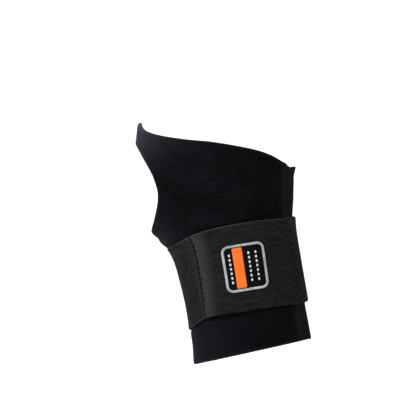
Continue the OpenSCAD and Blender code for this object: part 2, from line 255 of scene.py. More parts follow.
def arc_mm(q):
    """Length round the sheet at angle q, in mm from the fin's palm-side edge."""
    return np.interp(q, ARC_Q, ARC_S)


# -------- mesh building


def new_object(name, verts_mm, faces, uv_mm=None, sharp=50):
    """Mesh object from points in mm, with a UV map in metres when uv_mm has one row per vertex."""
    mesh = bpy.data.meshes.new(name)
    mesh.from_pydata((np.asarray(verts_mm) * MM).tolist(), [], [list(f) for f in faces])
    mesh.update()
    if uv_mm is not None:
        layer = mesh.uv_layers.new(name="cloth")
        index = np.empty(len(mesh.loops), int)
        mesh.loops.foreach_get("vertex_index", index)
        layer.data.foreach_set("uv", (np.asarray(uv_mm)[index] * MM).ravel())
    mesh.shade_smooth()
    mesh.set_sharp_from_angle(angle=math.radians(sharp))
    obj = bpy.data.objects.new(name, mesh)
    bpy.context.scene.collection.objects.link(obj)
    return obj


def grid_quads(n, m, start=0):
    """Quads of an n by m grid of cells, whose vertices run along m first."""
    return [(start + i * (m + 1) + j, start + i * (m + 1) + j + 1,
             start + (i + 1) * (m + 1) + j + 1, start + (i + 1) * (m + 1) + j)
            for i in range(n) for j in range(m)]


def ring_quads(rings, sides):
    """Quads between neighbouring rings, which each have the same number of vertices."""
    return [(i * sides + k, (i + 1) * sides + k, (i + 1) * sides + (k + 1) % sides,
             i * sides + (k + 1) % sides) for i in range(rings - 1) for k in range(sides)]


def thicken(name, outer, inner, quads, uv, bulge=0.0, steps=1, sharp=50):
    """Closed sheet between two point sets that share quads. Its rim swells by bulge, a number or one
    value per vertex, in steps strips."""
    count = len(outer)
    outer, inner = np.asarray(outer, float), np.asarray(inner, float)
    bulge = np.broadcast_to(np.asarray(bulge, float), (count,))
    edges = {(f[k], f[(k + 1) % 4]) for f in quads for k in range(4)}
    rim = sorted((a, b) for a, b in edges if (b, a) not in edges)
    centre = {}
    for f in quads:
        for a in f:
            centre.setdefault(a, []).append(f)
    middle = (outer + inner) / 2
    verts, uvs = [outer, inner], [uv, uv]
    chain = {}
    extra = 2 * count
    for a in sorted({v for e in rim for v in e}):
        near = np.mean([middle[list(f)].mean(0) for f in centre[a]], axis=0)
        away = middle[a] - near
        across = outer[a] - inner[a]
        away -= across * (away @ across) / max(across @ across, 1e-9)
        away /= max(np.linalg.norm(away), 1e-9)
        shares = np.arange(1, steps) / steps
        ring = outer[a] + (inner[a] - outer[a]) * shares[:, None]
        ring = ring + away * (bulge[a] * np.sin(np.pi * shares))[:, None]
        verts.append(ring)
        uvs.append(np.repeat(uv[a][None], len(ring), 0))
        chain[a] = [a, *range(extra, extra + len(ring)), a + count]
        extra += len(ring)
    faces = list(quads) + [tuple(count + v for v in reversed(f)) for f in quads]
    faces += [(chain[b][k], chain[a][k], chain[a][k + 1], chain[b][k + 1])
              for a, b in rim for k in range(steps)]
    return new_object(name, np.concatenate(verts), faces, np.concatenate(uvs), sharp)


def slab(name, qs, zs, outer, inner, bulge=0.0, steps=1, sharp=50):
    """Sheet over a grid of angles and heights; outer and inner are functions of (q, z) that give points."""
    q, z = np.meshgrid(qs, zs, indexing="ij")
    uv = np.stack([arc_mm(q), z], -1).reshape(-1, 2)
    quads = grid_quads(len(qs) - 1, len(zs) - 1)
    return thicken(name, outer(q, z).reshape(-1, 3), inner(q, z).reshape(-1, 3), quads, uv,
                   bulge, steps, sharp)


def tubes(name, paths, radius, sides=8, sharp=80):
    """One object of many closed tubes, along paths that all have the same number of points, in mm."""
    p = np.asarray(paths, float)
    count, n = p.shape[:2]
    turn = np.arange(sides) * 2 * np.pi / sides
    way = unit(np.gradient(p, axis=1))
    side = unit(np.cross(way, [0.31, 0.47, 0.83]))[:, :, None]
    up = np.cross(way, side[:, :, 0])[:, :, None]
    ring = p[:, :, None] + radius * (np.cos(turn)[:, None] * side + np.sin(turn)[:, None] * up)
    steps = np.linalg.norm(np.diff(p, axis=1), axis=2)
    along = np.concatenate([np.zeros((count, 1)), np.cumsum(steps, axis=1)], axis=1)
    uv = np.stack(np.broadcast_arrays(along[:, :, None], turn), -1)
    caps = [tuple(range(sides)), tuple(reversed(range((n - 1) * sides, n * sides)))]
    faces = [tuple(c * n * sides + v for v in f) for c in range(count) for f in ring_quads(n, sides) + caps]
    return new_object(name, ring.reshape(-1, 3), faces, uv.reshape(-1, 2), sharp)


def mark_wear_and_painted_light(obj, values):
    """Stores wear and painted light at each point of the outer face, or under 0 painted shade; the rest gets
    0.
    """
    wear_and_painted_light = np.zeros(len(obj.data.vertices))
    flat = np.ravel(values)
    wear_and_painted_light[:len(flat)] = flat
    obj.data.attributes.new("wear_and_painted_light", "FLOAT", "POINT").data.foreach_set("value", wear_and_painted_light)


def finish_piece(obj, node, material, body=None, bend=None):
    """Gives a piece its material and slot, hides the CAD part it replaces, and fixes it to its body, or given
    a bend, bakes its transform into its mesh.
    """
    obj.data.materials.append(material)
    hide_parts(node)
    if bend:
        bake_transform(obj)
    else:
        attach(obj, body)
    return obj


# -------- materials


class Nodes:
    """Short way to wire a Principled material."""

    def __init__(self, name):
        self.material = bpy.data.materials.new(name)
        self.material.use_nodes = True
        self.tree = self.material.node_tree
        self.tree.nodes.clear()
        self.shader = self.add("ShaderNodeBsdfPrincipled")
        self.add("ShaderNodeOutputMaterial", {0: self.shader.outputs[0]})

    def add(self, kind, sockets=None, **settings):
        """New node; sockets gives its inputs, by name or number, as values or as other nodes' outputs."""
        node = self.tree.nodes.new(kind)
        for key, value in settings.items():
            setattr(node, key, value)
        for key, value in (sockets or {}).items():
            self.put(node.inputs[key], value)
        return node

    def put(self, socket, value):
        if isinstance(value, bpy.types.NodeSocket):
            self.tree.links.new(value, socket)
        else:
            socket.default_value = value

    def finished(self, color, roughness, normal=None, **others):
        """The material, with these values or outputs on the shader's sockets."""
        sockets = {"Base Color": color, "Roughness": roughness, **others}
        if normal is not None:
            sockets["Normal"] = normal
        for key, value in sockets.items():
            self.put(self.shader.inputs[key.replace("_", " ")], value)
        return self.material

    def cloth_uv(self):
        return self.add("ShaderNodeUVMap", uv_map="cloth").outputs[0]

    def place(self):
        return self.add("ShaderNodeTexCoord").outputs["Object"]

    def scaled(self, vector, scale):
        return self.add("ShaderNodeMapping", {"Vector": vector, "Scale": scale}).outputs[0]

    def noise(self, vector, scale, detail=3.0, roughness=0.55):
        sockets = {"Vector": vector, "Scale": scale, "Detail": detail, "Roughness": roughness}
        return self.add("ShaderNodeTexNoise", sockets).outputs[0]

    def wave(self, vector, period, direction, distortion):
        """Bands that repeat after period metres."""
        scale = 2 * math.pi / (20 * period)
        sockets = {"Vector": vector, "Scale": scale, "Distortion": distortion, "Detail": 1.0}
        return self.add("ShaderNodeTexWave", sockets, bands_direction=direction).outputs["Fac"]

    def math(self, operation, a, b=0.0, clamp=False):
        return self.add("ShaderNodeMath", {0: a, 1: b}, operation=operation, use_clamp=clamp).outputs[0]

    def weighed(self, *pairs):
        """Sum of values times their weights, from (value, weight) pairs; a weight of 1 needs no node."""
        terms = [value if weight == 1 else self.math("MULTIPLY", value, weight) for value, weight in pairs]
        total = terms[0]
        for term in terms[1:]:
            total = self.math("ADD", total, term)
        return total

    def span(self, value, low, high, to_low=0.0, to_high=1.0):
        sockets = dict(enumerate((value, low, high, to_low, to_high)))
        return self.add("ShaderNodeMapRange", sockets).outputs[0]

    def noise_span(self, value, to_low=0.0, to_high=1.0):
        """Spreads a noise, which mostly stays between 0.3 and 0.7, over a range."""
        return self.span(value, 0.3, 0.7, to_low, to_high)

    def blend(self, factor, a, b):
        return self.add("ShaderNodeMix", {0: factor, 6: a, 7: b}, data_type="RGBA").outputs[2]

    def bump(self, height, strength, distance, normal=None):
        sockets = {"Height": height, "Strength": strength, "Distance": distance}
        if normal is not None:
            sockets["Normal"] = normal
        return self.add("ShaderNodeBump", sockets).outputs[0]


def grey(value, tint=(1, 1, 1)):
    return (value * tint[0], value * tint[1], value * tint[2], 1.0)


def worn_and_painted_light(m, color, pale, scale, least):
    """Colour where the mesh's attribute of wear and painted light is over 0, paler in small patches that
    keep at least a share of it, and under 0, darker with painted shade."""
    wear_and_painted_light = m.add("ShaderNodeAttribute", attribute_name="wear_and_painted_light").outputs["Fac"]
    patches = m.span(m.noise(m.cloth_uv(), scale, 3, 0.6), 0.40, 0.62, least, 1.6 - least)
    # Over 0 the colour turns paler: wear, and painted light.
    color = m.blend(m.math("MULTIPLY", wear_and_painted_light, patches, True), color, pale)
    # Under 0 the colour goes nearly black: painted shade in needle holes.
    return m.blend(m.math("MULTIPLY", wear_and_painted_light, -1.0, True), color, grey(0.0008))


def knit_material(name, dark, light, tint, pitch=0.00055, sheen=0.01):
    """Fine stretched jersey: rows of loops, soft mottling, a little lint, and the wear and painted light that
    the mesh marks.
    """
    m = Nodes(name)
    uv = m.cloth_uv()
    rows = m.wave(uv, pitch, "Y", 0.6)
    wales = m.wave(uv, pitch * 0.8, "X", 0.4)
    loops = m.math("MULTIPLY", rows, wales)
    broad = m.noise(uv, 70, 4)
    fine = m.noise(uv, 620, 4, 0.65)
    tone = m.weighed((broad, 0.35), (fine, 0.65))
    color = m.blend(m.span(tone, 0.40, 0.60), grey(dark, tint), grey(light, tint))
    lint = m.span(m.noise(uv, 2300, 1), 0.735, 0.77)
    color = m.blend(m.math("MULTIPLY", lint, 0.3), color, grey(0.10, tint))
    # Paler where the mesh marks wear and painted light.
    color = worn_and_painted_light(m, color, grey(light * 6.5, tint), 700, 0.6)
    normal = m.bump(m.weighed((broad, 1), (fine, 0.6)), 0.35, 0.0005, m.bump(loops, 0.4, 0.00012))
    return m.finished(color, m.noise_span(fine, 0.70, 0.86), normal, Sheen_Weight=sheen, Sheen_Roughness=0.45,
                      Sheen_Tint=(0.75, 0.85, 1.0, 1.0), Specular_IOR_Level=0.012)


def foam_material(name):
    """Cut edge of closed-cell foam: small pores, paler than the fabric."""
    m = Nodes(name)
    where = m.place()
    pores = m.add("ShaderNodeTexVoronoi", {"Vector": where, "Scale": 3200}).outputs["Distance"]
    color = m.blend(m.noise_span(m.noise(where, 260)), grey(0.020), grey(0.048, (1, 1.02, 1.06)))
    color = m.blend(m.span(pores, 0.1, 0.5), grey(0.010), color)
    return m.finished(color, 0.9, m.bump(pores, 0.6, 0.00015), Specular_IOR_Level=0.2)


def webbing_material(name):
    """Woven elastic: cords along its length, fine picks across them, and the wear, painted light and painted
    shade that the mesh marks.
    """
    m = Nodes(name)
    uv = m.cloth_uv()
    picks = m.wave(uv, 0.00062, "X", 0.5)
    cords = m.wave(uv, RIB / 2 * MM, "Y", 0.3)
    streak = m.noise(m.scaled(uv, (90, 900, 1)), 1)
    thick = m.noise(m.scaled(uv, (700, 240, 1)), 1)
    fleck = m.noise(uv, 900, 4, 0.65)
    tone = m.weighed((streak, 0.33), (fleck, 0.5), (thick, 0.17))
    color = m.blend(m.span(tone, 0.42, 0.58), grey(0.0036, (1, 1, 0.96)), grey(0.0116, (1, 1, 0.96)))
    # Paler where the mesh marks wear and painted light, darker where it marks painted shade.
    color = worn_and_painted_light(m, color, grey(0.027, (0.97, 1, 1.03)), 1000, 0.25)
    normal = m.bump(fleck, 0.4, 0.0003, m.bump(m.weighed((picks, 1), (cords, 0.6)), 0.5, 0.00014))
    return m.finished(color, m.noise_span(fleck, 0.62, 0.8), normal, Specular_IOR_Level=0.015)


def thread_material(name, light):
    """Two-ply sewing thread: a twist along each stitch, darker between the plies in painted shade."""
    m = Nodes(name)
    uv = m.cloth_uv()
    along, round_it = m.add("ShaderNodeSeparateXYZ", {0: uv}).outputs[:2]
    twist = m.math("SINE", m.weighed((along, 9000.0), (round_it, 1000.0)))
    # The colour darkens between the plies: painted shade.
    color = m.blend(m.span(twist, -1, 1), grey(light * 0.45), grey(light))
    roughness = m.noise_span(m.noise(m.place(), 4000, 2), 0.5, 0.7)
    return m.finished(color, roughness, m.bump(twist, 0.5, 0.0001), Specular_IOR_Level=0.1)


def moulded_material(name, color, roughness=0.5, spread=0.12, gloss=0.12):
    """Moulded rubber or plastic: a fine grain, slight unevenness of colour and a soft gloss."""
    m = Nodes(name)
    where = m.place()
    grain = m.noise(where, 2600, 2)
    dark, light = grey(1 - spread, color), grey(1 + spread, color)
    return m.finished(m.blend(m.noise_span(m.noise(where, 160)), dark, light),
                      m.noise_span(grain, roughness - 0.06, roughness + 0.1),
                      m.bump(grain, 0.25, 0.00008), Specular_IOR_Level=gloss)


def pile_material(name, dark, light):
    """Brushed loop pile: a tangle of fine fibres."""
    m = Nodes(name)
    where = m.place()
    tangle = m.noise(where, 1500, 5, 0.7)
    clump = m.noise(where, 320)
    color = m.blend(m.span(tangle, 0.35, 0.7), grey(dark), grey(light))
    normal = m.bump(m.math("ADD", tangle, clump), 0.8, 0.0004)
    return m.finished(color, m.noise_span(clump, 0.8, 0.95), normal, Sheen_Weight=0.06, Sheen_Roughness=0.5,
                      Specular_IOR_Level=0.05)


def label_material(name):
    """Woven satin label, blank."""
    m = Nodes(name)
    uv = m.cloth_uv()
    weft = m.wave(uv, 0.0004, "Y", 0.3)
    color = m.blend(m.noise_span(m.noise(uv, 300)), grey(0.62, (1, 0.99, 0.95)), grey(0.74))
    roughness = m.span(weft, 0, 1, 0.4, 0.6)
    return m.finished(color, roughness, m.bump(weft, 0.3, 0.00008), Sheen_Weight=0.2)


JERSEY = knit_material("jersey_knit", 0.0009, 0.0036, (0.90, 0.97, 1.20))
LINING = knit_material("lining_knit", 0.007, 0.016, (1, 1, 1.03), 0.0008, 0.05)
FOAM = foam_material("foam_cut_edge")
WEBBING = webbing_material("elastic_webbing")
THREAD = thread_material("seam_thread", 0.014)
TAB_THREAD = thread_material("tab_thread", 0.009)
LOOP = pile_material("loop_pile", 0.004, 0.018)
HOOK = moulded_material("hook_tape", (0.009, 0.009, 0.010), roughness=0.42)
BADGE_BASE = moulded_material("badge_black", (0.0026, 0.0026, 0.0034), gloss=0.02)
BADGE_GREY = moulded_material("badge_grey", (0.23, 0.24, 0.24), spread=0.3)
BADGE_ORANGE = moulded_material("badge_orange", (0.60, 0.108, 0.010))
BADGE_WHITE = moulded_material("badge_white", (0.44, 0.45, 0.44))
LABEL = label_material("blank_label")

# -------- sleeve

PUCKER = 0.09         # depth of the sewn fin's dents between its stitches
STRAP_SINK = 0.2      # how far the sheet stands off its plain surface under the strap
FOLD_H, FOLD_PITCH = 0.42, 7.4     # slack folds under the thumb hole
HEEL_H, HEEL_PITCH = 0.3, 9.5      # creases at the heel of the hand


def relief(q, z):
    """Soft shape of the worn sheet, in mm outward: squeezed at the strap, swollen beside it, with slack
    folds where it flares to the thumb and faint waves everywhere."""
    level = z - sway(np.clip(q, -180, 180))
    above, below = level - STRAP_TOP, STRAP_Z - level
    outside = np.maximum(np.maximum(above, below), 0)
    full = 0.55 + 0.6 * bell(q / 45) * (above > 0)
    swell = STRAP_SINK + full * smooth(outside / 1.6) * bell((outside - 2.5) / 5)
    away = smooth(outside / 1.2)
    s = arc_mm(q)
    broad = 0.34 * ripple(s, z, 26, 1) + 0.16 * ripple(s, z, 11, 2)
    flare = bell((q - 14) / 40) * bell((z - 80) / 6.5)
    folds = FOLD_H * flare * np.sin((z + 1.6 * ripple(s, z, 17, 3)) * 2 * np.pi / FOLD_PITCH)
    heel = bell((np.abs(q) - 128) / 26) * bell((z - 82) / 8)
    crease = np.sin((z - 0.06 * s + 2.0 * ripple(s, z, 21, 4)) * 2 * np.pi / HEEL_PITCH)
    folds = folds + HEEL_H * heel * crease
    fin = smooth((SEAM_ANGLE - 2 - np.abs(q)) / 10)
    pucker = PUCKER * (1 - fin) * np.cos(2 * np.pi * (z - 4) / STITCH_PITCH)
    return swell * fin * bell(outside / 14) + (broad + folds) * away * fin + pucker * away


def sleeve_columns(pitch):
    """Angles of the sheet's columns, closer together near the thumb hole's widest level."""
    hole = HOLE_ANGLE * np.sin(np.linspace(0, np.pi / 2, round(34 / pitch) + 1))
    back = np.linspace(HOLE_ANGLE, SEAM_ANGLE, round(78 / pitch) + 1)[1:]
    bend = np.linspace(SEAM_ANGLE, 180, round(9 / pitch) + 3)[1:]
    half = np.concatenate([hole, back, bend])
    return np.concatenate([-half[:0:-1], half])


def sleeve_grid(pitch):
    """Angles, heights and quads of the sheet, open at the thumb hole."""
    qs = sleeve_columns(pitch)
    low_n, high_n = round(104 / pitch), round(32 / pitch)
    low_z = hole_z(qs, -HOLE_DOWN)[:, None] * np.linspace(0, 1, low_n + 1)
    bottom = hole_z(qs, HOLE_UP)[:, None]
    high_z = bottom + (top_z(qs)[:, None] - bottom) * np.linspace(0, 1, high_n + 1)
    cols, half = len(qs), len(qs) * (low_n + 1)
    closed = np.abs(qs) >= HOLE_ANGLE - 1e-6
    q = np.concatenate([np.repeat(qs, low_n + 1), np.repeat(qs, high_n + 1)])
    z = np.concatenate([low_z.ravel(), high_z.ravel()])
    quads = grid_quads(cols - 1, low_n) + grid_quads(cols - 1, high_n, half)
    joined = {half + i * (high_n + 1): i * (low_n + 1) + low_n for i in range(cols) if closed[i]}
    quads = [tuple(joined.get(v, v) for v in f) for f in quads]
    used = sorted({v for f in quads for v in f})
    renumber = {v: k for k, v in enumerate(used)}
    return q[used], z[used], [tuple(renumber[v] for v in f) for f in quads]


def edge_distance(q, z):
    """Rough distance from a point of the sheet to its nearest cut edge, in mm."""
    a = np.abs(q)
    rim = np.minimum(z, top_z(q) - z)
    across = (a - HOLE_ANGLE) * 0.62
    share = np.minimum(a / HOLE_ANGLE, 1)
    reach = np.where(z < HOLE_HEIGHT, HOLE_DOWN, HOLE_UP)
    radial = np.hypot(share * 30, (z - HOLE_HEIGHT) / reach * 30) - 30
    hole = np.where(a < HOLE_ANGLE, radial, np.hypot(np.maximum(across, 0), (z - HOLE_HEIGHT) * 0.6))
    return np.maximum(np.minimum(rim, hole), 0)


def sleeve_layer(name, node, off_out, off_in, pitch, material, roll=0.0, bulge=0.0, steps=1, close=0.0):
    """One layer of the sheet. roll turns its cut edges towards the foam, and close moves its inner face
    inward in the fin, where the two halves are sewn face to face."""
    q, z, quads = sleeve_grid(pitch)
    soft = relief(q, z)
    curl = roll * bell(edge_distance(q, z) / 0.9)
    press = close * smooth((np.abs(q) - SEAM_ANGLE - 4) / 4)
    uv = np.stack([arc_mm(q), z], -1)
    obj = thicken(name, skin(q, z, soft + off_out - curl), skin(q, z, soft + off_in - curl - press), quads,
                  uv, bulge, steps)
    # Painted light: paler at the top of the thumb side, where the key light falls.
    painted_light_at_web = bell(q / 56) * smooth((z - 110) / 34)
    # Painted sheen below the thumb hole.
    painted_sheen_below_thumb = 0.26 * bell((np.abs(q) - 24) / 22) * bell((z - 74) / 14)
    cut_edge = 0.35 * bell(edge_distance(q, z) / 0.8)
    # Painted sheen at the foot on the thumb side, which faces the key light.
    painted_sheen_at_foot = 0.26 * smooth((30 - z) / 14) * bell(q / 60)
    # Painted highlight on the crest beside the fin, and the fin painted paler to cancel the shade in its
    # bend.
    fin = 0.14 * bell((np.abs(q) - 160) / 6) + 0.4 * smooth((np.abs(q) - 167) / 5)
    mark_wear_and_painted_light(obj, painted_light_at_web + painted_sheen_below_thumb + cut_edge + painted_sheen_at_foot + fin)
    return finish_piece(obj, node, material, "sleeve")


outer_fabric = sleeve_layer("sleeve_outer_fabric", "outer_jersey", 0, -FABRIC_T, 1.15, JERSEY, 0.22)
foam = sleeve_layer("sleeve_foam", "foam_core", -FABRIC_T - 0.01, FABRIC_T - SHEET_T + 0.01, 1.9,
                    FOAM, bulge=0.3, steps=5)
lining = sleeve_layer("sleeve_lining_fabric", "inner_lining", FABRIC_T - SHEET_T, -SHEET_T, 1.6,
                      LINING, -0.12, close=FIN_GAP / 2 + PUCKER)

# -------- thread


STITCH_GAP, STITCH_RISE, STITCH_POINTS = 0.35, 0.55, 7


def stitch_path(a, b, up):
    """One stitch: it leaves the cloth at a, lies over it and dives at b. Each is a point in mm."""
    gap = STITCH_GAP / np.linalg.norm(b - a)
    t = np.linspace(gap, 1 - gap, STITCH_POINTS)
    arch = THREAD_D * (STITCH_RISE * np.sin(np.pi * np.linspace(0, 1, STITCH_POINTS)) ** 0.6 - 0.5)
    return a + (b - a) * t[:, None] + up * arch[:, None]


def stitch_line(points, ups, wander=0.06, seed=0):
    """Stitches between neighbouring points, each a little off the line as sewn ones are."""
    rng = random.Random(SEED + seed)
    paths = []
    for k in range(len(points) - 1):
        slip = np.array([rng.uniform(-wander, wander) for _ in range(3)])
        paths.append(stitch_path(points[k] + slip, points[k + 1] + slip, ups[k]))
    return paths


def sew(name, node, paths, material, body=None, bend=None):
    """A seam's thread as one piece."""
    finish_piece(tubes(name, paths, THREAD_D / 2), node, material, body, bend)


def over_sleeve(q, z, off=0.0):
    """Points on the soft sleeve's outer fabric and the directions out of it."""
    q, z = arrays(q, z)
    return skin(q, z, relief(q, z) + off), skin(q, z, 1.0) - skin(q, z, 0.0)


seam_heights = 4 + STITCH_PITCH * np.arange(int((ULNAR_HEIGHT - 8) / STITCH_PITCH) + 1)
seam_paths = []
for side in (-1, 1):
    seam_paths += stitch_line(*over_sleeve(side * 177.4, seam_heights), 0.05, side + 2)
sew("seam_stitches", "side_seam_thread", seam_paths, THREAD, "sleeve")

tack_paths = []
for z0 in (1.2, ULNAR_HEIGHT - 2.4):
    for side in (-1, 1):
        for k in range(4):
            tack = over_sleeve([side * 175.6, side * 179.2], z0 + 0.75 * k)
            tack_paths += stitch_line(*tack, 0.05, k)
sew("seam_bar_tacks", "seam_bartacks", tack_paths, THREAD, "sleeve")

# -------- strap

# Each bend starts this far before its hinge and ends this far past it, in mm. A bend that lies on both
# sides of its hinge lengthens the band less. The pieces are cut where their bends start.
SWING_BEND, TURN_BEND, PEEL_BEND, GRIP_BEND = (0, 14), (6, 8), (6, 6), (0, 5)
CUT_TURN = HINGE_TURN - TURN_BEND[0] / TURN_MM
CUT_PEEL = HINGE_PEEL - PEEL_BEND[0] / TURN_MM


def seam_angle_at(z):
    return TAB_SEAM + (z - STRAP_MID) * TAB_SEAM_SLOPE


def ribs(z):
    """Cords of the elastic and its firmer selvedges, in mm outward."""
    v = (z - STRAP_Z) % RIB / RIB
    cords = RIB_H * (1 - np.square(2 * v - 1))
    edge = selvedge(z)
    return cords * smooth((edge - 1.2) / 0.4) + 0.13 * bell((edge - 0.75) / 0.5) - 0.22 * bell(edge / 0.3)


def seam_needles(q, z):
    """How near a point is to a needle hole of the tab's seam, from 0 to 1."""
    step = (z - STRAP_Z - SEW_MARGIN + STITCH_PITCH / 2) % STITCH_PITCH - STITCH_PITCH / 2
    return bell((q - seam_angle_at(z)) * SEAM_MM / 0.5) * bell(step / 0.75)


ZIG_STEP, ZIG_START, ZIG_SWING = 1.9, -1.2, 2.4
NEEDLE_DENT = 0.3     # depth of the webbing's dents at its stitches


def zig_needles(along, z):
    """How near a point is to a needle hole of the end's zigzag, from 0 to 1. along is mm past HINGE_GRIP."""
    k = np.round((z - STRAP_Z - SEW_MARGIN) / ZIG_STEP)
    hole = ZIG_START + (k % 2) * ZIG_SWING
    return bell((along - hole) / 0.75) * bell((z - STRAP_Z - SEW_MARGIN - k * ZIG_STEP) / 0.65)


def strap_relief(q, z):
    """Swelling of the webbing beside its seams and slight waves along its edges."""
    s = (q - seam_angle_at(z)) * SEAM_MM
    hump = 0.75 * bell((s - 6.5) / 5.0) * smooth((s + 0.4) / 1.6) - 0.28 * bell((s + 0.1) / 0.6)
    end = (q - HINGE_GRIP) * MM_PER_DEGREE
    groove = -NEEDLE_DENT * seam_needles(q, z) - NEEDLE_DENT * zig_needles(end, z)
    edge = selvedge(z)
    wave = 0.22 * ripple(arc_mm(np.minimum(q, 180)), z, 19, 5) * bell(edge / 7)
    loose = smooth((q - HINGE_PEEL) / 12) * smooth((HINGE_GRIP + 14 - q) / 10)
    return hump + groove + wave * loose


def strap_columns(q0, q1, pitch=1.3):
    """Angles of the strap's columns, closer together at the tab's seam."""
    qs = np.linspace(q0, q1, max(3, round((q1 - q0) * TURN_MM / pitch)) + 1)
    fine = np.concatenate([TAB_SEAM + np.linspace(-5, 5, 19), HINGE_GRIP + np.linspace(-5, -0.7, 7)])
    fine = fine[(fine > q0 + 0.3) & (fine < q1 - 0.3)]
    apart = np.abs(qs[:, None] - fine[None]).min(axis=1) > 0.45 if len(fine) else np.ones(len(qs), bool)
    return np.unique(np.concatenate([qs[apart | (qs == q0) | (qs == q1)], fine]))


def strap_rows():
    count = round(STRAP_W / RIB) * 4
    rows = np.linspace(STRAP_Z, STRAP_TOP, count + 1)
    edge = np.array([0.12, 0.5, 0.9])
    return np.unique(np.round(np.concatenate([rows, STRAP_Z + edge, STRAP_TOP - edge]), 4))


def hinge_line(q, bend):
    """Start and end points, in metres, of a bend of the strap that starts at angle q and opens along
    +angle. They lie square to the strap's leaning line there, so that the whole line stays still."""
    low, p, high = (strap_point(q, z, STRAP_T / 2) for z in (STRAP_Z, STRAP_MID, STRAP_TOP))
    way = np.append(face_way(np.array(min(q, STRAP_LEAVE)), np.array(STRAP_MID)), 0)
    line = unit(high - low)
    end = p + unit(way - line * (way @ line)) * sum(bend)
    return tuple(p * MM), tuple(end * MM)


BENDS = {
    "strap_palm": ("sleeve", "strap_palm", *hinge_line(HINGE_SWING, SWING_BEND)),
    "strap_thumb": ("strap_palm", "strap_thumb", *hinge_line(CUT_TURN, TURN_BEND)),
    "strap_tab": ("strap_thumb", "strap_tab", *hinge_line(CUT_PEEL, PEEL_BEND)),
    "strap_grip": ("strap_tab", "strap_grip", *hinge_line(HINGE_GRIP, GRIP_BEND))}


def strap_piece(name, node, q0, q1, body):
    """Stretch of the webbing between two angles, with round selvedges."""
    qs, zs = strap_columns(q0, q1), strap_rows()
    q, z = np.meshgrid(qs, zs, indexing="ij")
    edge = selvedge(z)
    bulge = np.where(edge < 0.01, 0.45, 0.0).ravel()
    obj = slab(name, qs, zs,
               lambda a, b: strap_point(a, b, STRAP_T - RIB_H + ribs(b) + strap_relief(a, b)),
               lambda a, b: strap_point(a, b, 0.06 - 0.5 * ribs(b) + 0.9 * strap_relief(a, b)),
               bulge, 5, 60)
    s = (q - seam_angle_at(z)) * SEAM_MM
    # Painted sheen: a pale band beside the tab's seam, where the webbing rises and catches the light.
    painted_sheen_band = 0.78 * smooth(s / 0.8) * smooth((9.5 - s) / 7) + 0.3 * bell((s + 1.6) / 1.2)
    # Both selvedges paler on the left stretch, edge wear and painted highlight; the top selvedge paler all
    # along, a painted highlight where light falls from above.
    edge_wear_and_painted_highlight = 0.75 * bell(edge / 0.55) * smooth((62 - q) / 14)
    edge_wear_and_painted_highlight = np.maximum(edge_wear_and_painted_highlight, 0.7 * bell((STRAP_TOP - z) / 0.6))
    end = (q - HINGE_GRIP) * MM_PER_DEGREE
    # The needle holes of both seams are darkened: painted shade.
    mark_wear_and_painted_light(obj, painted_sheen_band + edge_wear_and_painted_highlight - 1.5 * seam_needles(q, z) - 1.2 * zig_needles(end, z))
    return finish_piece(obj, node, WEBBING, body, BENDS.get(body))


anchor = strap_piece("strap_sewn_end", "strap_anchor_end", ANCHOR_START, HINGE_SWING, "sleeve")
palm = strap_piece("strap_palm_webbing", "strap_palm_run", HINGE_SWING, CUT_TURN, "strap_palm")
thumb = strap_piece("strap_thumb_webbing", "strap_thumb_turn", CUT_TURN, CUT_PEEL, "strap_thumb")
tab = strap_piece("strap_tab_webbing", "strap_back_run", CUT_PEEL, HINGE_GRIP, "strap_tab")


HEM_CORNER, RAW_END = 2.0, 0.8    # radius of the free end's corners, and where the cut end lies beneath it


def hem_path():
    """Middle line of the folded end in (mm along the strap past HINGE_GRIP, mm out), and its normals."""
    r = STRAP_T / 2 + 0.02
    nose = GRIP_LEN - r - STRAP_T / 2
    top = [(s, r, 0, 1) for s in np.linspace(0, nose, 17)]
    turn = [(nose + r * math.sin(a), r * math.cos(a), math.sin(a), math.cos(a))
            for a in np.linspace(0, math.pi, 11)[1:-1]]
    back = [(s, -r, 0, -1) for s in np.linspace(nose, RAW_END, 9)]
    return np.array(top + turn + back)


def hem_piece():
    """The free end, folded under and sewn: the webbing turns back beneath itself."""
    path, zs = hem_path(), strap_rows()
    half, sink = STRAP_T / 2 - 0.03, 0.02
    k, z = np.meshgrid(np.arange(len(path)), zs, indexing="ij")
    along, off, n_along, n_off = (path[k, c] for c in range(4))

    edge = selvedge(z)
    corner = HEM_CORNER * (1 - np.sqrt(1 - np.square(np.clip(1 - edge / HEM_CORNER, 0, 1))))

    def shell(side):
        out = side * (half - RIB_H + ribs(z) * (1 if side > 0 else 0.5))
        reach = (along + n_along * out) * (1 - corner / GRIP_LEN)
        pull = NEEDLE_DENT * zig_needles(along, z) * (n_off > 0) * (side > 0)
        level = off + n_off * (out - pull) - sink
        return strap_point(HINGE_GRIP + reach / MM_PER_DEGREE, z, level).reshape(-1, 3)

    step = np.concatenate([[0], np.cumsum(np.linalg.norm(np.diff(path[:, :2], axis=0), axis=1))])
    uv = np.stack([arc_mm(HINGE_GRIP) + step[k], z], -1).reshape(-1, 2)
    obj = thicken("strap_hemmed_end", shell(1), shell(-1), grid_quads(len(path) - 1, len(zs) - 1), uv,
                  np.where(edge < 0.01, 0.4, 0.0).ravel(), 5, 60)
    on_top = (n_off > 0) * 1.0
    # Painted highlight: the upper part of the hem and its top edge paler, where the light falls from above.
    painted_top_highlight = 0.3 * smooth((z - STRAP_TOP + 17) / 15) + 0.5 * bell((STRAP_TOP - z) / 0.6)
    # The zigzag's needle holes are darkened: painted shade.
    mark_wear_and_painted_light(obj, on_top * (0.12 * smooth((along - 3.5) / 2) + painted_top_highlight - 1.2 * zig_needles(along, z)))
    return finish_piece(obj, "strap_end_grip", WEBBING, bend=BENDS["strap_grip"])


grip = hem_piece()


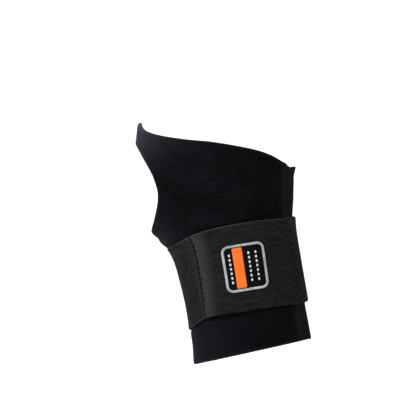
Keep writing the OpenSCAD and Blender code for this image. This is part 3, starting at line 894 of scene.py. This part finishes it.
def over_strap(q, z, off=0.0):
    """Points on the strap's outer face and the directions out of it."""
    q, z = arrays(q, z)
    return (strap_point(q, z, STRAP_T + strap_relief(q, z) + off),
            strap_point(q, z, 1.0) - strap_point(q, z, 0.0))


def box_route(q0, q1, z0, z1):
    """Points about a stitch apart round a box of angles and heights: one array of each."""
    corners = [(q0, z0), (q1, z0), (q1, z1), (q0, z1), (q0, z0)]
    out = corners[:1]
    for (qa, za), (qb, zb) in zip(corners, corners[1:]):
        n = max(1, round(math.hypot((qb - qa) * SEAM_MM, zb - za) / STITCH_PITCH))
        out += [(qa + (qb - qa) * k / n, za + (zb - za) * k / n) for k in range(1, n + 1)]
    return np.array(out).T


stitches = over_strap(*box_route(ANCHOR_START + 4, HINGE_SWING - 4, STRAP_Z + 3, STRAP_TOP - 3))
sew("anchor_stitches", "anchor_box_stitch", stitch_line(*stitches, 0.06, 11), TAB_THREAD, "sleeve")

seam_z = STRAP_Z + SEW_MARGIN + STITCH_PITCH * np.arange(int((STRAP_W - 3) / STITCH_PITCH) + 1)
stitches = over_strap(seam_angle_at(seam_z), seam_z, -0.05)
sew("tab_seam_stitches", "tab_seam_stitch", stitch_line(*stitches, 0.05, 13), TAB_THREAD,
    bend=BENDS["strap_tab"])

zig_k = np.arange(int((STRAP_W - 3) / ZIG_STEP) + 1)
stitches = over_strap(HINGE_GRIP + (ZIG_START + (zig_k % 2) * ZIG_SWING) / MM_PER_DEGREE,
                      STRAP_Z + SEW_MARGIN + ZIG_STEP * zig_k, -0.05)
sew("hem_zigzag_stitches", "end_zigzag_stitch", stitch_line(*stitches, 0.07, 17), TAB_THREAD,
    bend=BENDS["strap_grip"])

# -------- hook and loop

PATCH_Z = (STRAP_Z + PATCH_MARGIN, STRAP_TOP - PATCH_MARGIN)
HOOK_BACKING, LOOP_BACKING = 0.35, 0.5


def merged(name, objects):
    """Joins freshly made objects into the first one."""
    with bpy.context.temp_override(active_object=objects[0], object=objects[0],
                                   selected_editable_objects=objects, selected_objects=objects):
        bpy.ops.object.join()
    objects[0].name = name
    return objects[0]


def hook_tape():
    """Hook side under the tab: a backing and rows of small bent hooks."""
    qs, zs = strap_columns(HOOK_START, HOOK_END, 1.2), np.linspace(*PATCH_Z, 24)
    backing = slab("hook_backing", qs, zs,
                   lambda a, b: strap_point(a, b, 0.02 + 0.9 * strap_relief(a, b)),
                   lambda a, b: strap_point(a, b, 0.9 * strap_relief(a, b) - HOOK_BACKING))
    columns, rows = 38, 34
    i, j = (k.ravel() for k in np.meshgrid(np.arange(columns), np.arange(rows), indexing="ij"))
    q = HOOK_START + 1.2 + (HOOK_END - HOOK_START - 2.4) * i / (columns - 1)
    z = PATCH_Z[0] + 0.9 + (PATCH_Z[1] - PATCH_Z[0] - 1.8) * (j + 0.25 * (i % 2)) / rows
    base = strap_point(q, z, 0.9 * strap_relief(q, z) - HOOK_BACKING)
    out = strap_point(q, z, 0.0) - strap_point(q, z, 1.0)
    bent = np.where(i % 2, 0.45, -0.45)[:, None] * np.array([0, 0, 1])
    paths = np.stack([base, base + out * 0.3, base + out * 0.47 + bent * 0.45,
                      base + out * 0.36 + bent * 0.9], axis=1)
    hooks = tubes("hooks", paths, 0.1, 4)
    return merged("hook_patch_tape", [backing, hooks])


def loop_tape():
    """Loop side on the sleeve: a backing with a tangled pile of fine loops."""
    qs, zs = strap_columns(LOOP_START, LOOP_END, 1.2), np.linspace(*PATCH_Z, 40)

    def top(a, b):
        fuzz = 0.09 * ripple(arc_mm(a), b, 1.7, 6) + 0.05 * ripple(arc_mm(a), b, 0.8, 7)
        return over_sleeve(a, strap_level(a, b), LOOP_BACKING + fuzz)[0]

    backing = slab("loop_backing", qs, zs, top,
                   lambda a, b: over_sleeve(a, strap_level(a, b), 0.02)[0], 0.1, 3)
    rng = np.random.RandomState(SEED)
    count = 2600
    q = rng.uniform(LOOP_START + 0.6, LOOP_END - 0.6, count)
    z = strap_level(q, rng.uniform(PATCH_Z[0] + 0.3, PATCH_Z[1] - 0.3, count))
    base, up = over_sleeve(q, z, LOOP_BACKING - 0.05)
    high, wide, turn = (rng.uniform(a, b, (count, 1)) for a, b in ((0.3, 0.5), (0.25, 0.6), (0, math.pi)))
    level = np.stack([up[:, 1], -up[:, 0], np.zeros(count)], -1)
    side = (level * np.cos(turn) + np.array([0, 0, 1]) * np.sin(turn)) * wide
    up = up * high
    paths = np.stack([base - side, base - side * 0.7 + up * 0.8, base + up, base + side * 0.7 + up * 0.8,
                      base + side], axis=1)
    pile = tubes("pile", paths, 0.045, 3)
    return merged("loop_patch_tape", [backing, pile])


hook_patch = finish_piece(hook_tape(), "hook_patch", HOOK, bend=BENDS["strap_tab"])
finish_piece(loop_tape(), "loop_patch", LOOP, "sleeve")

box_q, box_z = box_route(LOOP_START + 3, LOOP_END - 3, PATCH_Z[0] + 1.8, PATCH_Z[1] - 1.8)
stitches = over_sleeve(box_q, strap_level(box_q, box_z), LOOP_BACKING + 0.1)
sew("loop_patch_stitches", "loop_patch_stitch", stitch_line(*stitches, 0.05, 19), THREAD, "sleeve")

# -------- badge

BADGE_MM = float(np.linalg.norm(np.diff(oval(BADGE_ANGLE + np.array([-0.5, 0.5]), BADGE_Z), axis=0)))
PLATE_T, RAISED_T = 0.5, 0.3
BAND_X = -3.4


def badge_point(x, y, off):
    """Point over the strap at x and y mm across and up the badge, which leans with the tab."""
    c, s = math.cos(math.radians(BADGE_TILT)), math.sin(math.radians(BADGE_TILT))
    z = BADGE_Z + sway(BADGE_ANGLE) + y * c - x * s
    return skin(BADGE_ANGLE + (x * c + y * s) / BADGE_MM, z, STRAP_LIFT + STRAP_T + off)


def rounded(w, h, r, steps=8):
    """Points of a rounded rectangle, as x and y, anticlockwise, with four along each straight side."""
    arcs = []
    for corner, (sx, sy) in enumerate(((1, 1), (-1, 1), (-1, -1), (1, -1))):
        a = np.radians(90 * corner + 90 * np.arange(steps + 1) / steps)
        arcs.append(np.stack([sx * (w / 2 - r) + r * np.cos(a), sy * (h / 2 - r) + r * np.sin(a)], -1))
    out = []
    for arc, after in zip(arcs, arcs[1:] + arcs[:1]):
        out += [arc, arc[-1] + (after[0] - arc[-1]) * np.array([[0.2], [0.4], [0.6], [0.8]])]
    return np.concatenate(out)


def lofted(name, loops, closed):
    """Mesh through loops of points over the badge, each (points, height). closed joins the last loop to
    the first; otherwise both ends are capped."""
    n = len(loops[0][0])
    verts = np.concatenate([badge_point(p[:, 0], p[:, 1], h) for p, h in loops])
    faces = []
    count = len(loops)
    for i in range(count if closed else count - 1):
        a, b = i * n, (i + 1) % count * n
        faces += [(a + k, a + (k + 1) % n, b + (k + 1) % n, b + k) for k in range(n)]
    if not closed:
        faces += [tuple(reversed(range(n))), tuple(range((count - 1) * n, count * n))]
    uv = np.concatenate([p for p, _ in loops])
    return new_object(name, verts, faces, uv, 40)


def puck(name, w, h, r, x, y, low, high, bevel, rings=(0.75, 0.5, 0.25, 0.06), steps=8):
    """Raised rounded rectangle with a soft edge, at x, y on the badge."""
    def loop(inset, share=1.0):
        p = rounded(w - 2 * inset, h - 2 * inset, max(r - inset, 0.05), steps) * share
        return p + np.array([x, y])
    loops = [(loop(0), low), (loop(0), high - bevel), (loop(bevel * 0.3), high - bevel * 0.3),
             (loop(bevel), high)]
    loops += [(loop(bevel, share), high) for share in rings]
    return lofted(name, loops, False)


def badge_pieces():
    inner_h = BADGE_H - 2 * BADGE_RIM
    plate = puck("badge_base_plate", BADGE_W, BADGE_H, BADGE_CORNER, 0, 0, -0.05, PLATE_T, 0.2)
    finish_piece(plate, "badge_plate", BADGE_BASE, "strap_tab")
    top = PLATE_T + RAISED_T
    soft = 0.22
    profile = [(0.0, PLATE_T - 0.05), (0.0, top - soft), (soft * 0.3, top - soft * 0.3), (soft, top),
               (BADGE_RIM - soft, top), (BADGE_RIM - soft * 0.3, top - soft * 0.3),
               (BADGE_RIM, top - soft), (BADGE_RIM, PLATE_T - 0.05)]
    loops = [(rounded(BADGE_W - 2 * i, BADGE_H - 2 * i, BADGE_CORNER - i), h) for i, h in profile]
    finish_piece(lofted("badge_border_ring", loops, True), "badge_border", BADGE_GREY,
                 "strap_tab")
    band = puck("badge_orange_band", 5.4, inner_h - 1.0, 0.6, BAND_X, 0, PLATE_T - 0.05, top, 0.15)
    finish_piece(band, "badge_band", BADGE_ORANGE, "strap_tab")
    marks = []
    pitch = 2.6
    rows = int((BADGE_H - 10) / pitch)
    for x in (BAND_X - 4.6, BAND_X + 6, BAND_X + 10):
        for k in range(rows + 1):
            marks.append(puck(f"mark_{len(marks)}", 1.0, 1.4, 0.3, x, (k - rows / 2) * pitch,
                              PLATE_T - 0.05, PLATE_T + 0.25, 0.1, (0.5,), 3))
    finish_piece(merged("badge_mark_rows", marks), "badge_marks", BADGE_WHITE, "strap_tab")


badge_pieces()

# -------- label inside, blank


LABEL_Q, LABEL_Z = (-157, -132), (6, 24)


def label_side(off):
    """One face of the label, whose upper edge stands a little off the lining."""
    return lambda q, z: skin(q, z, relief(q, z) * 0.6 - SHEET_T - off - 0.5 * smooth((z - 12) / 14))


label = finish_piece(slab("blank_care_label", np.linspace(*LABEL_Q, 26), np.linspace(*LABEL_Z, 24),
                          label_side(0.32), label_side(0.5)), "care_label", LABEL, "sleeve")

# -------- stage, light and camera


def stage_bowl():
    """Pale floor that rises far away into a wall, so that no horizon shows from any side."""
    m = Nodes("stage_paper")
    color = m.blend(m.noise_span(m.noise(m.place(), 900, 2)), grey(0.84), grey(0.87))
    paper = m.finished(color, 0.95, Specular_IOR_Level=0.05, Emission_Color=(1, 1, 1, 1),
                       Emission_Strength=0.4)
    flat = [0.02, 0.06, 0.12, 0.2, 0.35, 0.6, 0.9, 1.2]
    rise = np.radians(np.linspace(6, 90, 15))
    radii = flat + [flat[-1] + 0.9 * math.sin(a) for a in rise]
    heights = [0.0] * len(flat) + [1.5 * (1 - math.cos(a)) for a in rise]
    turns, drop = 96, 0.0004
    verts = [(r * math.cos(a) / MM, r * math.sin(a) / MM, (h - drop) / MM)
             for r, h in zip(radii, heights) for a in np.arange(turns) * 2 * math.pi / turns]
    faces = [tuple(range(turns))] + ring_quads(len(radii), turns)
    floor = new_object("stage_floor", verts, faces, None, 180)
    floor.data.materials.append(paper)


def area_light(name, place, target, size, power, color=(1, 1, 1)):
    data = bpy.data.lights.new(name, "AREA")
    data.shape = "DISK"
    data.size = size
    data.energy = power
    data.color = color
    light = bpy.data.objects.new(name, data)
    light.location = place
    light.visible_camera = False
    light.rotation_euler = (Vector(target) - Vector(place)).to_track_quat("-Z", "Y").to_euler()
    bpy.context.scene.collection.objects.link(light)


def lights():
    middle = (0, 0, 0.08)
    area_light("key_light", (-0.24, -0.19, 0.31), (-0.04, 0, 0.12), 0.16, 2.0, (0.93, 0.97, 1.0))
    area_light("fill_light", (0.8, -0.7, 0.45), middle, 0.7, 1.3)
    area_light("back_light", (-0.2, 0.8, 0.8), middle, 0.6, 3.0)
    bpy.context.scene.view_settings.view_transform = "Standard"
    world = bpy.data.worlds.new("studio_air")
    bpy.context.scene.world = world
    world.use_nodes = True
    air = world.node_tree.nodes["Background"]
    air.inputs[0].default_value = (1, 1, 1, 1)
    air.inputs[1].default_value = 0.5


def camera():
    """Level with the forearm opening, half a metre in front, rolled so that the part leans."""
    place, aim = Vector((-0.010, -0.5, 0.006)), Vector((-0.010, 0, 0.096))
    roll = math.radians(12.5)
    data = bpy.data.cameras.new("photo_camera")
    data.sensor_width = 36.0
    data.lens = 74.25
    data.clip_start = 0.01
    data.clip_end = 20
    ahead = (aim - place).normalized()
    right = Vector((1, 0, 0))
    up = right.cross(ahead)
    across = right * math.cos(roll) - up * math.sin(roll)
    rise = up * math.cos(roll) + right * math.sin(roll)
    turn = Matrix((across, rise, -ahead)).transposed().to_4x4()
    cam = bpy.data.objects.new("photo_camera", data)
    cam.matrix_world = Matrix.Translation(place) @ turn
    bpy.context.scene.collection.objects.link(cam)
    bpy.context.scene.camera = cam


stage_bowl()
lights()
camera()
